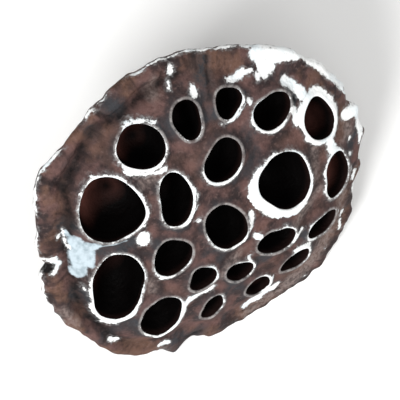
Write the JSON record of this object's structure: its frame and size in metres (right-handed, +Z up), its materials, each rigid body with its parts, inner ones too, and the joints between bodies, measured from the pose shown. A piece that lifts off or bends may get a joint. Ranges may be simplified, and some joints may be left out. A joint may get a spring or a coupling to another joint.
{
  "type": "dried lotus pod",
  "caption": "Dried lotus seed head lying on its side: a domed face of open seed cells with raised lips, a pleated cup below it and a short cut stub of stalk.",
  "frame": {"origin": "middle of the footprint's bounding box, on the surface that the pod lies on", "axes": "+Z up from that surface; -Y the way the face looks, with the pod's own axis rising from the stalk at +Y; +X to the right across the face"},
  "size_m": [0.0984, 0.0694, 0.0704],
  "materials": {
    "pod_skin": "dry matt brown plant skin with dark cells and brushed white paint on the lips and edge"
  },
  "bodies": {
    "root": {"lotus_pod": "pod_skin"}
  },
  "joints": []
}
